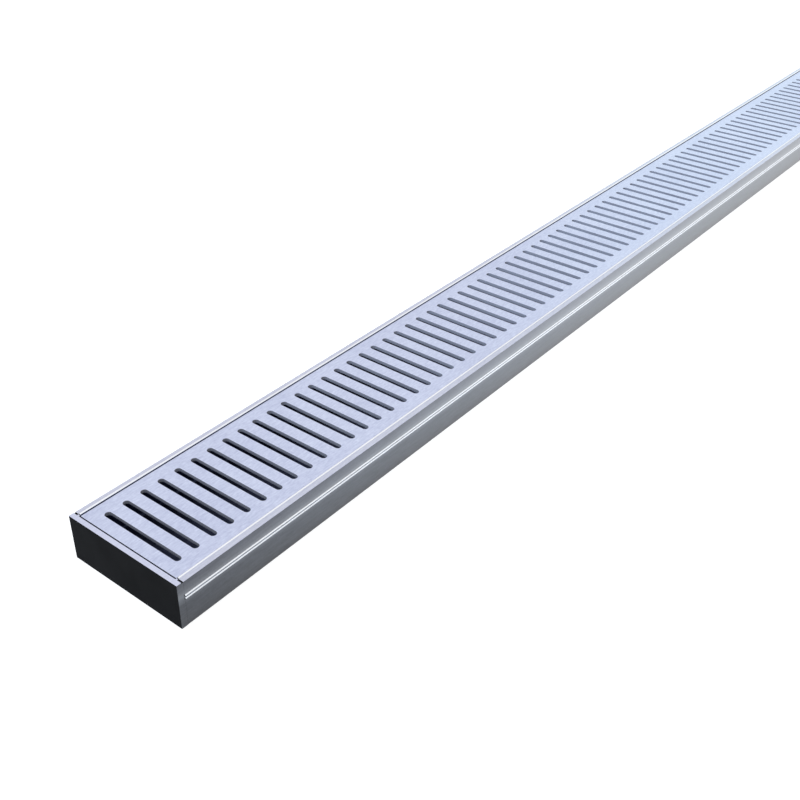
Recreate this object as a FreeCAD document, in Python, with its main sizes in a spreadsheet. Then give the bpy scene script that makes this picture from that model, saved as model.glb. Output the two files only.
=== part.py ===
import FreeCAD, Part
import math
import os

import Sketcher

# Linear channel drain: an extruded aluminium channel with a slotted grate dropped
# between its lips, a plugged cap and a rubber seal at each end, and a pipe socket
# with a gasket and a strainer in the floor, halfway along.
# X runs along the channel, Y across it, Z up. The origin is the middle of the underside.

SIZES = [
    ("overall_length", 1200.0, "outer face of one end cap to outer face of the other"),
    ("overall_width", 75.0, "outer face of one side wall to the other, ribs left out"),
    ("lip_height", 26.0, "underside to the flat top of the lips and the end caps"),
    ("wall_thickness", 1.8, "side walls of the channel"),
    ("base_thickness", 1.8, "floor of the channel"),
    ("floor_fillet", 2.0, "inside corner between floor and wall"),
    ("lip_reach", 3.85, "outer face of the wall to the inner edge of its lip"),
    ("lip_thickness", 1.8, "lip at the top of the wall"),
    ("lip_bead_radius", 0.5, "half-round bead along the inner edge of the lip"),
    ("ledge_reach", 7.8, "outer face of the wall to the inner edge of its ledge"),
    ("ledge_thickness", 1.6, "ledge that carries the grate"),
    ("rib_radius", 0.5, "half-round ribs outside, which key into the mortar"),
    ("rib_height", 16.0, "underside to the centre of the lower rib"),
    ("rib_spacing", 1.8, "lower rib to upper rib"),
    ("grate_recess", 0.25, "top of the grate below the lips"),
    ("grate_height", 6.0, "grate from the ledge to its top"),
    ("grate_plate", 2.0, "thickness of the grate's top"),
    ("grate_skirt", 1.5, "thickness of the grate's turned-down sides"),
    ("grate_side_gap", 0.45, "clearance between the grate and each lip"),
    ("grate_end_gap", 0.8, "clearance between the grate and each end cap plate"),
    ("grate_edge_radius", 0.2, "rounded long edges of the grate"),
    ("slot_length", 51.8, "slot from end to end"),
    ("slot_width", 3.7, "slot from side to side"),
    ("slot_count", 108, "slots along the grate"),
    ("slot_inset", 9.05, "end of the grate to the middle of its first slot"),
    ("cap_plate", 2.8, "end cap plate, the full outline of the channel"),
    ("cap_shoulder", 1.0, "step behind the plate, up to the end of the channel"),
    ("cap_notch", 1.2, "depth of the step below the flat of each lip"),
    ("plug_length", 6.0, "how far the end cap's plug goes into the channel"),
    ("plug_thickness", 2.5, "rim of the plug"),
    ("seal_thickness", 1.0, "rubber seal round the plug"),
    ("socket_bore_radius", 21.6, "socket for a 43 mm waste pipe, sliding fit"),
    ("socket_wall", 2.4, "wall of the socket"),
    ("socket_clearance", 0.3, "socket to the hole in the floor, all round"),
    ("socket_flange_reach", 7.0, "flange beyond the hole in the floor"),
    ("socket_flange_rim", 1.4, "flange at its outer edge"),
    ("socket_flange_rise", 1.2, "slope of the flange from its edge to its top"),
    ("gasket_thickness", 1.0, "rubber ring under the flange"),
    ("strainer_seat", 1.5, "width of the step that the strainer lies on"),
    ("strainer_thickness", 1.2, "strainer disc, flush with the flange"),
    ("strainer_clearance", 0.3, "strainer to the socket, all round"),
    ("strainer_eye_radius", 4.0, "finger hole in the middle of the strainer"),
    ("strainer_bar", 3.5, "solid ring on each side of the strainer's slots"),
    ("strainer_slot_width", 3.2, "slots of the strainer"),
    ("strainer_slot_count", 12, "slots round the strainer"),
]

# Places worked out from the sizes, as expressions in the sheet's names.
HALF_LENGTH = "(sizes.overall_length / 2)"
HALF_WIDTH = "(sizes.overall_width / 2)"
WALL_INSIDE = f"({HALF_WIDTH} - sizes.wall_thickness)"
LIP_INSIDE = f"({HALF_WIDTH} - sizes.lip_reach)"
LIP_UNDERSIDE = "(sizes.lip_height - sizes.lip_thickness)"
BEAD_CENTRE = f"({LIP_INSIDE} + sizes.lip_bead_radius)"
BEAD_OUTSIDE = f"({LIP_INSIDE} + 2 * sizes.lip_bead_radius)"
UPPER_RIB = "(sizes.rib_height + sizes.rib_spacing)"
GRATE_TOP = "(sizes.lip_height - sizes.grate_recess)"
GRATE_UNDERSIDE = f"({GRATE_TOP} - sizes.grate_plate)"
LEDGE_TOP = f"({GRATE_TOP} - sizes.grate_height)"
LEDGE_UNDERSIDE = f"({LEDGE_TOP} - sizes.ledge_thickness)"
LEDGE_INSIDE = f"({HALF_WIDTH} - sizes.ledge_reach)"
CHANNEL_LENGTH = "(sizes.overall_length - 2 * sizes.cap_plate - 2 * sizes.cap_shoulder)"
GRATE_LENGTH = "(sizes.overall_length - 2 * sizes.cap_plate - 2 * sizes.grate_end_gap)"
GRATE_SIDE = f"({LIP_INSIDE} - sizes.grate_side_gap)"
SKIRT_INSIDE = f"({GRATE_SIDE} - sizes.grate_skirt)"
SLOT_RADIUS = "(sizes.slot_width / 2)"
SLOT_ARC_CENTRE = f"(sizes.slot_length / 2 - {SLOT_RADIUS})"
FIRST_SLOT = f"(sizes.slot_inset - {GRATE_LENGTH} / 2)"
SLOT_RUN = f"({GRATE_LENGTH} - 2 * sizes.slot_inset)"
NOTCH_FLOOR = "(sizes.lip_height - sizes.cap_notch)"
CAP_DEPTH = "(sizes.cap_plate + sizes.cap_shoulder)"
PLUG_SIDE = f"({WALL_INSIDE} - sizes.seal_thickness)"
PLUG_BOTTOM = "(sizes.base_thickness + sizes.seal_thickness)"
PLUG_INSIDE = f"({PLUG_SIDE} - sizes.plug_thickness)"
PLUG_FLOOR = f"({PLUG_BOTTOM} + sizes.plug_thickness)"
SOCKET_OUTSIDE = "(sizes.socket_bore_radius + sizes.socket_wall)"
FLOOR_HOLE = f"({SOCKET_OUTSIDE} + sizes.socket_clearance)"
FLANGE_OUTSIDE = f"({FLOOR_HOLE} + sizes.socket_flange_reach)"
GASKET_TOP = "(sizes.base_thickness + sizes.gasket_thickness)"
FLANGE_EDGE_TOP = f"({GASKET_TOP} + sizes.socket_flange_rim)"
FLANGE_TOP = f"({FLANGE_EDGE_TOP} + sizes.socket_flange_rise)"
STRAINER_REBATE = "(sizes.socket_bore_radius + sizes.strainer_seat)"
STRAINER_BOTTOM = f"({FLANGE_TOP} - sizes.strainer_thickness)"
STRAINER_RADIUS = f"({STRAINER_REBATE} - sizes.strainer_clearance)"
STRAINER_SLOT_RADIUS = "(sizes.strainer_slot_width / 2)"
STRAINER_SLOT_START = f"(sizes.strainer_eye_radius + sizes.strainer_bar + {STRAINER_SLOT_RADIUS})"
STRAINER_SLOT_END = f"(sizes.socket_bore_radius - sizes.strainer_bar - {STRAINER_SLOT_RADIUS})"

ORIGIN = -1
START, END, CENTRE = 1, 2, 3
LEVEL_TOLERANCE = 1e-4
# Flats in each round slot end, few because there are many slots.
SLOT_END_FLATS = 8
STRAINER_END_FLATS = 4


def make_sheet(doc):
    """Puts every driving size in a spreadsheet, one named cell each."""
    sheet = doc.addObject("Spreadsheet::Sheet", "sizes")
    for row, (alias, value, note) in enumerate(SIZES, start=1):
        sheet.set(f"A{row}", alias)
        sheet.set(f"B{row}", str(value))
        sheet.set(f"C{row}", note)
        sheet.setAlias(f"B{row}", alias)
    doc.recompute()
    return sheet


def make_body(doc, label):
    """Starts a sub-part."""
    body = doc.addObject("PartDesign::Body", label)
    body.Label = label
    return body


def origin_feature(body, role):
    """Finds one of the body's own origin planes or axes by its role."""
    return next(item for item in body.Origin.OriginFeatures if item.Role == role)


def add_sketch(body, name, role):
    """Adds an empty sketch on one of the body's origin planes."""
    sketch = body.newObject("Sketcher::SketchObject", name)
    sketch.AttachmentSupport = [(origin_feature(body, role), "")]
    sketch.MapMode = "FlatFace"
    return sketch


def bind(sketch, kind, *where_and_value, expression):
    """Adds one dimension to a sketch and ties it to an expression."""
    index = sketch.addConstraint(Sketcher.Constraint(kind, *where_and_value))
    sketch.setExpression(f"Constraints[{index}]", expression)


def pin_point(sketch, geometry, point, place, across, up):
    """Ties a point's two distances from the sketch's origin to expressions."""
    bind(sketch, "DistanceX", ORIGIN, START, geometry, point, place.x, expression=across)
    bind(sketch, "DistanceY", ORIGIN, START, geometry, point, place.y, expression=up)


def draw_outline(sketch, corners):
    """Draws a closed outline of straight lines through (across, up) expressions.

    The lines start on a round of rough places, and the dimensions move them.
    """
    turn = 2 * math.pi / len(corners)
    rough = [FreeCAD.Vector(10 * math.cos(i * turn), 10 * math.sin(i * turn), 0)
             for i in range(len(corners))]
    for i, place in enumerate(rough):
        sketch.addGeometry(Part.LineSegment(place, rough[(i + 1) % len(rough)]), False)
    for i, (across, up) in enumerate(corners):
        following = (i + 1) % len(corners)
        sketch.addConstraint(Sketcher.Constraint("Coincident", i, END, following, START))
        pin_point(sketch, i, START, rough[i], across, up)


def draw_circle(sketch, across, up, radius):
    """Draws a circle whose centre and radius are expressions."""
    circle = sketch.addGeometry(Part.Circle(FreeCAD.Vector(1, 1, 0), FreeCAD.Vector(0, 0, 1), 1), False)
    pin_point(sketch, circle, CENTRE, FreeCAD.Vector(1, 1, 0), across, up)
    bind(sketch, "Radius", circle, 1.0, expression=radius)


def slot_corners(across, low, high, radius, facets):
    """Lists a slot's corners: round ends of a few flats each, about two arc centres."""
    ends = []
    for centre, first_angle in ((high, 0.0), (low, math.pi)):
        for step in range(facets + 1):
            angle = first_angle + math.pi * step / facets
            ends.append((f"({across} + {radius} * {math.cos(angle):.6f})",
                         f"({centre} + {radius} * {math.sin(angle):.6f})"))
    return ends


def mirrored(half):
    """Completes one half of a section with its mirror image across the middle."""
    return half + [(f"-{across}", up) for across, up in reversed(half)]


def pad(body, name, sketch, length, symmetric=False):
    """Extrudes a sketch by an expression, one way or half to each side."""
    feature = body.newObject("PartDesign::Pad", name)
    feature.Profile = sketch
    feature.setExpression("Length", length)
    if symmetric:
        feature.SideType = "Symmetric"
    return feature


def cut_upwards(body, name, sketch, length=None):
    """Cuts a sketch of the XY plane upwards, by an expression or right through."""
    volume_before = body.Shape.Volume
    feature = body.newObject("PartDesign::Pocket", name)
    feature.Profile = sketch
    feature.Reversed = True
    if length is None:
        feature.Type = "ThroughAll"
    else:
        feature.setExpression("Length", length)
    body.Document.recompute()
    if not body.Shape.Volume < volume_before:
        raise RuntimeError(f"{body.Label}: {name} cuts nothing")
    return feature


def revolve(body, name, sketch):
    """Turns a sketch of the XZ plane once round the vertical axis."""
    feature = body.newObject("PartDesign::Revolution", name)
    feature.Profile = sketch
    feature.ReferenceAxis = (sketch, ["V_Axis"])
    feature.Angle = 360.0
    return feature


def round_edges_along_x(body, name, level, radius):
    """Rounds the body's edges that run along X at one height."""
    body.Document.recompute()
    base = body.Tip
    edges = []
    for number, edge in enumerate(base.Shape.Edges, start=1):
        box = edge.BoundBox
        if max(box.YLength, box.ZLength, abs(box.ZMin - level)) < LEVEL_TOLERANCE:
            edges.append(f"Edge{number}")
    if not edges:
        raise RuntimeError(f"{body.Label}: {name} found no edge at height {level}")
    feature = body.newObject("PartDesign::Fillet", name)
    feature.Base = (base, edges)
    feature.setExpression("Radius", radius)
    return feature


def make_channel(doc, sheet):
    """The extruded channel: floor, walls, lips, ledges, ribs outside and beads on the lips."""
    body = make_body(doc, "channel_frame")
    section = add_sketch(body, "channel_section", "YZ_Plane")
    draw_outline(section, mirrored([
        (HALF_WIDTH, "0"),
        (HALF_WIDTH, "sizes.lip_height"),
        (LIP_INSIDE, "sizes.lip_height"),
        (LIP_INSIDE, LIP_UNDERSIDE),
        (WALL_INSIDE, LIP_UNDERSIDE),
        (WALL_INSIDE, LEDGE_TOP),
        (LEDGE_INSIDE, LEDGE_TOP),
        (LEDGE_INSIDE, LEDGE_UNDERSIDE),
        (WALL_INSIDE, LEDGE_UNDERSIDE),
        (WALL_INSIDE, "sizes.base_thickness"),
    ]))
    pad(body, "channel_extrusion", section, CHANNEL_LENGTH, symmetric=True)
    round_edges_along_x(body, "floor_corners", sheet.base_thickness, "sizes.floor_fillet")
    ridges = add_sketch(body, "ridge_section", "YZ_Plane")
    for side in ("", "-"):
        draw_circle(ridges, side + HALF_WIDTH, "sizes.rib_height", "sizes.rib_radius")
        draw_circle(ridges, side + HALF_WIDTH, UPPER_RIB, "sizes.rib_radius")
        draw_circle(ridges, side + BEAD_CENTRE, "sizes.lip_height", "sizes.lip_bead_radius")
    pad(body, "ribs_and_beads", ridges, CHANNEL_LENGTH, symmetric=True)
    doc.recompute()
    opening = add_sketch(body, "floor_hole_outline", "XY_Plane")
    draw_circle(opening, "0", "0", FLOOR_HOLE)
    cut_upwards(body, "floor_hole", opening, "sizes.base_thickness")
    return body


def make_grate(doc, sheet):
    """The grate: a strip with turned-down sides and a row of slots across its top."""
    body = make_body(doc, "slotted_grate")
    section = add_sketch(body, "grate_section", "YZ_Plane")
    draw_outline(section, mirrored([
        (SKIRT_INSIDE, GRATE_UNDERSIDE),
        (SKIRT_INSIDE, LEDGE_TOP),
        (GRATE_SIDE, LEDGE_TOP),
        (GRATE_SIDE, GRATE_TOP),
    ]))
    pad(body, "grate_strip", section, GRATE_LENGTH, symmetric=True)
    round_edges_along_x(body, "grate_edges", sheet.lip_height - sheet.grate_recess,
                        "sizes.grate_edge_radius")
    doc.recompute()
    slot = add_sketch(body, "slot_outline", "XY_Plane")
    draw_outline(slot, slot_corners(FIRST_SLOT, f"-{SLOT_ARC_CENTRE}", SLOT_ARC_CENTRE,
                                    SLOT_RADIUS, SLOT_END_FLATS))
    first = cut_upwards(body, "first_slot", slot)
    row = body.newObject("PartDesign::LinearPattern", "slot_row")
    row.Originals = [first]
    row.Direction = (origin_feature(body, "X_Axis"), [""])
    row.Mode = "Extent"
    row.setExpression("Length", SLOT_RUN)
    row.setExpression("Occurrences", "sizes.slot_count")
    body.Tip = row
    return body


def place_at_end(body, far):
    """Sets a body that is drawn from its outer face inwards at one end of the channel."""
    if far:
        body.Placement = FreeCAD.Placement(FreeCAD.Vector(), FreeCAD.Rotation(FreeCAD.Vector(0, 0, 1), 180))
    body.setExpression("Placement.Base.x", HALF_LENGTH if far else f"-{HALF_LENGTH}")


def make_end_cap(doc, sheet, label, far):
    """An end cap: plate, a shoulder that carries on the channel's outline, and a plug."""
    body = make_body(doc, label)
    plate = add_sketch(body, "plate_outline", "YZ_Plane")
    draw_outline(plate, mirrored([(HALF_WIDTH, "0"), (HALF_WIDTH, "sizes.lip_height")]))
    pad(body, "plate", plate, "sizes.cap_plate")
    shoulder = add_sketch(body, "shoulder_outline", "YZ_Plane")
    draw_outline(shoulder, mirrored([
        (HALF_WIDTH, "0"),
        (HALF_WIDTH, NOTCH_FLOOR),
        (BEAD_OUTSIDE, NOTCH_FLOOR),
        (BEAD_OUTSIDE, "sizes.lip_height"),
        (LIP_INSIDE, "sizes.lip_height"),
        (LIP_INSIDE, LEDGE_TOP),
    ]))
    pad(body, "shoulder", shoulder, CAP_DEPTH)
    plug = add_sketch(body, "plug_outline", "YZ_Plane")
    draw_outline(plug, mirrored([
        (PLUG_SIDE, PLUG_BOTTOM),
        (PLUG_SIDE, LEDGE_UNDERSIDE),
        (PLUG_INSIDE, LEDGE_UNDERSIDE),
        (PLUG_INSIDE, PLUG_FLOOR),
    ]))
    pad(body, "plug", plug, f"{CAP_DEPTH} + sizes.plug_length")
    round_edges_along_x(body, "plug_corners", sheet.base_thickness + sheet.seal_thickness,
                        "sizes.floor_fillet - sizes.seal_thickness")
    place_at_end(body, far)
    return body


def make_end_seal(doc, sheet, label, far):
    """A rubber strip bent round the plug, between it and the channel's floor and walls."""
    body = make_body(doc, label)
    section = add_sketch(body, "seal_section", "YZ_Plane")
    section.AttachmentOffset = FreeCAD.Placement()
    section.setExpression("AttachmentOffset.Base.z", CAP_DEPTH)
    draw_outline(section, mirrored([
        (WALL_INSIDE, "sizes.base_thickness"),
        (WALL_INSIDE, LEDGE_UNDERSIDE),
        (PLUG_SIDE, LEDGE_UNDERSIDE),
        (PLUG_SIDE, PLUG_BOTTOM),
    ]))
    pad(body, "seal_strip", section, "sizes.plug_length")
    round_edges_along_x(body, "outer_corners", sheet.base_thickness, "sizes.floor_fillet")
    round_edges_along_x(body, "inner_corners", sheet.base_thickness + sheet.seal_thickness,
                        "sizes.floor_fillet - sizes.seal_thickness")
    place_at_end(body, far)
    return body


def make_socket(doc):
    """The moulded pipe socket: a sleeve through the floor and a sloping flange on it."""
    body = make_body(doc, "outlet_socket")
    section = add_sketch(body, "socket_section", "XZ_Plane")
    draw_outline(section, [
        ("sizes.socket_bore_radius", "0"),
        (SOCKET_OUTSIDE, "0"),
        (SOCKET_OUTSIDE, GASKET_TOP),
        (FLANGE_OUTSIDE, GASKET_TOP),
        (FLANGE_OUTSIDE, FLANGE_EDGE_TOP),
        (SOCKET_OUTSIDE, FLANGE_TOP),
        (STRAINER_REBATE, FLANGE_TOP),
        (STRAINER_REBATE, STRAINER_BOTTOM),
        ("sizes.socket_bore_radius", STRAINER_BOTTOM),
    ])
    revolve(body, "socket_turned", section)
    return body


def make_gasket(doc):
    """The rubber ring between the flange and the channel's floor."""
    body = make_body(doc, "outlet_gasket")
    section = add_sketch(body, "gasket_section", "XZ_Plane")
    draw_outline(section, [
        (FLOOR_HOLE, "sizes.base_thickness"),
        (FLANGE_OUTSIDE, "sizes.base_thickness"),
        (FLANGE_OUTSIDE, GASKET_TOP),
        (FLOOR_HOLE, GASKET_TOP),
    ])
    revolve(body, "gasket_ring", section)
    return body


def make_strainer(doc):
    """The loose strainer: a disc with a finger hole and a ring of slots."""
    body = make_body(doc, "outlet_strainer")
    section = add_sketch(body, "strainer_section", "XZ_Plane")
    draw_outline(section, [
        ("sizes.strainer_eye_radius", STRAINER_BOTTOM),
        (STRAINER_RADIUS, STRAINER_BOTTOM),
        (STRAINER_RADIUS, FLANGE_TOP),
        ("sizes.strainer_eye_radius", FLANGE_TOP),
    ])
    revolve(body, "strainer_disc", section)
    doc.recompute()
    slot = add_sketch(body, "strainer_slot_outline", "XY_Plane")
    draw_outline(slot, slot_corners("0", STRAINER_SLOT_START, STRAINER_SLOT_END,
                                    STRAINER_SLOT_RADIUS, STRAINER_END_FLATS))
    first = cut_upwards(body, "first_strainer_slot", slot)
    ring = body.newObject("PartDesign::PolarPattern", "strainer_slot_ring")
    ring.Originals = [first]
    ring.Axis = (origin_feature(body, "Z_Axis"), [""])
    ring.Angle = 360.0
    ring.setExpression("Occurrences", "sizes.strainer_slot_count")
    body.Tip = ring
    return body


def check(doc, bodies):
    """Stops if any object failed or any sub-part is empty or not one valid solid."""
    for item in doc.Objects:
        if "Invalid" in item.State or "Error" in item.State:
            raise RuntimeError(f"{item.Label}: {item.State}")
    for body in bodies:
        shape = body.Shape
        if shape.isNull() or not shape.isValid() or len(shape.Solids) != 1:
            raise RuntimeError(f"{body.Label}: not one valid solid")


def main():
    """Builds the drain and writes one file for each sub-part."""
    doc = FreeCAD.newDocument("channel_drain")
    sheet = make_sheet(doc)
    bodies = [
        make_channel(doc, sheet),
        make_grate(doc, sheet),
        make_end_cap(doc, sheet, "end_cap_near", far=False),
        make_end_cap(doc, sheet, "end_cap_far", far=True),
        make_end_seal(doc, sheet, "end_seal_near", far=False),
        make_end_seal(doc, sheet, "end_seal_far", far=True),
        make_socket(doc),
        make_gasket(doc),
        make_strainer(doc),
    ]
    doc.recompute()
    check(doc, bodies)
    os.makedirs("parts", exist_ok=True)
    for body in bodies:
        body.Shape.exportStep(os.path.join("parts", f"{body.Label}.step"))
        print(body.Label, round(body.Shape.Volume, 1), "mm3")


main()
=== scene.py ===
"""Dresses the channel drain: extruded channel, slotted grate, end caps and outlet, on a studio floor."""

import logging
import math
from dataclasses import dataclass, field
from enum import IntEnum
from typing import Any, Optional, Sequence

import bpy
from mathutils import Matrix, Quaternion, Vector

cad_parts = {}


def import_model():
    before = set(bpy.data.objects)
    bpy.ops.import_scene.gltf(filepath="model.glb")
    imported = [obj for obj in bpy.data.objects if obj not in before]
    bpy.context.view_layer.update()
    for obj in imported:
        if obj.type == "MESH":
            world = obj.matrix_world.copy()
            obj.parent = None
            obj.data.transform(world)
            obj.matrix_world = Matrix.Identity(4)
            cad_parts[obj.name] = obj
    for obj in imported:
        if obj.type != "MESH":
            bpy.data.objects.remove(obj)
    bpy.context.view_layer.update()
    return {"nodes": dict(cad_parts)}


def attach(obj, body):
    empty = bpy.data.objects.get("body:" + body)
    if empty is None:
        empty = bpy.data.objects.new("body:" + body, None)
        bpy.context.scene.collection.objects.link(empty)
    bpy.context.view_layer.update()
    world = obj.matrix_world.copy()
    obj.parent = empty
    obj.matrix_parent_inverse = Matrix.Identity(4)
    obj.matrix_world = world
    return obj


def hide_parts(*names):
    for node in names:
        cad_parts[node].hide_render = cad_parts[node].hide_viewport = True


logging.basicConfig(level=logging.INFO, format="%(levelname)s %(message)s")
LOG = logging.getLogger("channel_drain")

MM = 0.001
BODY = "root"
SHARP_ANGLE = math.radians(32)
SAME_PLACE = 1e-6  # millimetres
RING_STEPS = 96  # flats round a hole or a ring of the outlet

YZ = tuple[float, float]


class Zone(IntEnum):
    """Which surface of a piece a face belongs to. A rounded corner goes to the lower number.

    TOP is the grate and the top of the caps, LIP the channel's lips, BRIGHT the crests of its beads and
    ribs, EDGE the walls of the slots, OUTER the outer walls, CUT the end faces and INNER what lies inside.
    """

    TOP = 0
    LIP = 1
    BRIGHT = 2
    EDGE = 3
    OUTER = 4
    CUT = 5
    INNER = 6


# Colours and nodes


def linear(hex_colour: str) -> tuple[float, float, float, float]:
    """Turns an sRGB hex colour into linear RGBA.

    Args:
        hex_colour: The colour as "#rrggbb".

    Returns:
        Its linear red, green and blue, with an alpha of 1.
    """
    channels = [int(hex_colour[i:i + 2], 16) / 255 for i in (1, 3, 5)]
    red, green, blue = (c / 12.92 if c <= 0.04045 else ((c + 0.055) / 1.055) ** 2.4 for c in channels)
    return red, green, blue, 1.0


def add_node(tree: bpy.types.NodeTree, kind: str, settings: Optional[dict[str, Any]] = None,
             inputs: Optional[dict[Any, Any]] = None) -> bpy.types.Node:
    """Adds a node with its settings, socket values and links.

    Args:
        tree: The node tree that gets the node.
        kind: The node's type name.
        settings: Attributes of the node itself.
        inputs: Values by socket name or number; an output socket is linked instead.

    Returns:
        The new node.
    """
    node = tree.nodes.new(kind)
    for name, value in (settings or {}).items():
        setattr(node, name, value)
    for name, value in (inputs or {}).items():
        if isinstance(value, bpy.types.NodeSocket):
            tree.links.new(value, node.inputs[name])
        else:
            node.inputs[name].default_value = value
    return node


def add_noise(tree: bpy.types.NodeTree, place: bpy.types.NodeSocket, scale: float, detail: float,
              roughness: float = 0.5) -> bpy.types.NodeSocket:
    """Adds noise of so many cells per unit, with finer layers on it, and returns its pattern."""
    return add_node(tree, "ShaderNodeTexNoise", inputs={
        "Vector": place, "Scale": scale, "Detail": detail, "Roughness": roughness}).outputs["Fac"]


def add_math(tree: bpy.types.NodeTree, operation: str, *values: Any) -> bpy.types.NodeSocket:
    """Adds a calculation with sockets or plain values, and returns its result."""
    return add_node(tree, "ShaderNodeMath", {"operation": operation}, dict(enumerate(values))).outputs[0]


def add_range(tree: bpy.types.NodeTree, value: bpy.types.NodeSocket, source: tuple[float, float],
              target: tuple[float, float] = (0.0, 1.0), curve: str = "LINEAR") -> bpy.types.NodeSocket:
    """Maps the source range onto the target range, held at both ends, and returns the result."""
    return add_node(tree, "ShaderNodeMapRange", {"interpolation_type": curve}, {
        "Value": value, "From Min": source[0], "From Max": source[1],
        "To Min": target[0], "To Max": target[1]}).outputs[0]


def add_mix(tree: bpy.types.NodeTree, share: Any, first: Any, second: Any,
            blend: str = "MIX") -> bpy.types.NodeSocket:
    """Mixes the second colour into the first by its share, or adds it, and returns the result."""
    # On a mix node, sockets 6 and 7 take the colours, and output 2 gives theirs.
    return add_node(tree, "ShaderNodeMix", {"data_type": "RGBA", "blend_type": blend}, {
        0: share, 6: first, 7: second}).outputs[2]


def new_material(name: str) -> tuple[bpy.types.Material, bpy.types.NodeTree]:
    """Starts a material whose node tree is empty."""
    material = bpy.data.materials.new(name)
    material.use_nodes = True
    material.node_tree.nodes.clear()
    return material, material.node_tree


# Finishes


@dataclass(frozen=True)
class DrawnMetal:
    """A metal worked in one direction, so that fine lines run along it.

    The lines are streaks of noise, stretched along X. They change the colour a little, the gloss more,
    and the height by a few thousandths of a millimetre. A finer grain and a broad mottle are added to
    them by their weights. Spacing, length, grain, mottle and relief are in millimetres.
    """

    name: str
    colour: str
    streak_colour: str
    roughness: float
    roughness_spread: float
    line_spacing: float
    line_length: float
    grain: float
    relief: float
    coat: float = 0.0
    coat_ior: float = 1.5
    coat_roughness: float = 0.3
    # Painted light and shade by height, as (height in millimetres, colour added); the last height is the
    # top.
    painted_light_by_height: tuple[tuple[float, str], ...] = ()
    grain_weight: float = 0.35
    mottle: float = 40.0
    mottle_weight: float = 0.3
    pattern_range: tuple[float, float] = (0.5, 1.15)

    def build(self) -> bpy.types.Material:
        """Makes the material."""
        material, tree = new_material(self.name)
        place = add_node(tree, "ShaderNodeTexCoord").outputs["Object"]
        # One noise cell is about one line wide across and one line long lengthwise.
        across = 1 / (self.line_spacing * MM)
        along = 1 / (self.line_length * MM)
        lines_at = add_node(tree, "ShaderNodeMapping", inputs={
            "Vector": place, "Scale": (along, across, across)})
        lines = add_noise(tree, lines_at.outputs[0], 1.0, detail=4.0, roughness=0.6)
        grain = add_noise(tree, place, 1 / (self.grain * MM), detail=2.0)
        mottle = add_noise(tree, place, 1 / (self.mottle * MM), detail=1.0)
        pattern = add_math(tree, "MULTIPLY_ADD", grain, self.grain_weight, lines)
        pattern = add_math(tree, "MULTIPLY_ADD", mottle, self.mottle_weight, pattern)
        spread = add_range(tree, pattern, self.pattern_range)
        colour = add_mix(tree, spread, linear(self.colour), linear(self.streak_colour))
        if self.painted_light_by_height:
            colour = self._add_painted_light(tree, place, colour)
        roughness = add_range(tree, spread, (0.0, 1.0), (self.roughness - self.roughness_spread,
                                                         self.roughness + self.roughness_spread))
        bump = add_node(tree, "ShaderNodeBump", inputs={
            "Height": pattern, "Strength": 1.0, "Distance": self.relief * MM})
        shader = add_node(tree, "ShaderNodeBsdfPrincipled", inputs={
            "Base Color": colour, "Metallic": 1.0, "Roughness": roughness, "Normal": bump.outputs[0],
            "Coat Weight": self.coat, "Coat IOR": self.coat_ior, "Coat Roughness": self.coat_roughness})
        add_node(tree, "ShaderNodeOutputMaterial", inputs={"Surface": shader.outputs[0]})
        return material

    def _add_painted_light(self, tree: bpy.types.NodeTree, place: bpy.types.NodeSocket,
               colour: bpy.types.NodeSocket) -> bpy.types.NodeSocket:
        """Adds the painted light and shade at each height of the section.

        Args:
            tree: The material's node tree.
            place: Where the surface is, in metres.
            colour: The colour with its lines.

        Returns:
            The colour with its lines and its painted light and shade.
        """
        axes = add_node(tree, "ShaderNodeSeparateXYZ", inputs={0: place})
        top = self.painted_light_by_height[-1][0]
        height = add_range(tree, axes.outputs[2], (0.0, top * MM))
        ramp = add_node(tree, "ShaderNodeValToRGB", inputs={0: height})
        stops = ramp.color_ramp.elements
        while len(stops) < len(self.painted_light_by_height):
            stops.new(1.0)
        for stop, (level, tone) in zip(stops, self.painted_light_by_height):
            stop.position = level / top
            stop.color = linear(tone)
        return add_mix(tree, 1.0, colour, ramp.outputs[0], "ADD")


@dataclass(frozen=True)
class GrainedCoat:
    """A thin coating, moulding or rubber with a fine grain all over and soft clouds of tone.

    Grain, clouds and relief are in millimetres.
    """

    name: str
    colour: str
    second_colour: str
    roughness: float
    grain: float
    relief: float
    specular: float = 0.5
    ior: float = 1.5
    roughness_spread: float = 0.08
    clouds: float = 18.0
    pattern_range: tuple[float, float] = (0.12, 0.4)

    def build(self) -> bpy.types.Material:
        """Makes the material."""
        material, tree = new_material(self.name)
        place = add_node(tree, "ShaderNodeTexCoord").outputs["Object"]
        grain = add_noise(tree, place, 1 / (self.grain * MM), detail=3.0, roughness=0.6)
        clouds = add_noise(tree, place, 1 / (self.clouds * MM), detail=2.0)
        spread = add_range(tree, add_math(tree, "MULTIPLY", grain, clouds), self.pattern_range)
        colour = add_mix(tree, spread, linear(self.colour), linear(self.second_colour))
        roughness = add_range(tree, grain, (0.0, 1.0), (self.roughness - self.roughness_spread,
                                                        self.roughness + self.roughness_spread))
        bump = add_node(tree, "ShaderNodeBump", inputs={
            "Height": grain, "Strength": 1.0, "Distance": self.relief * MM})
        shader = add_node(tree, "ShaderNodeBsdfPrincipled", inputs={
            "Base Color": colour, "Roughness": roughness, "Normal": bump.outputs[0],
            "Specular IOR Level": self.specular, "IOR": self.ior})
        add_node(tree, "ShaderNodeOutputMaterial", inputs={"Surface": shader.outputs[0]})
        return material


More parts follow.
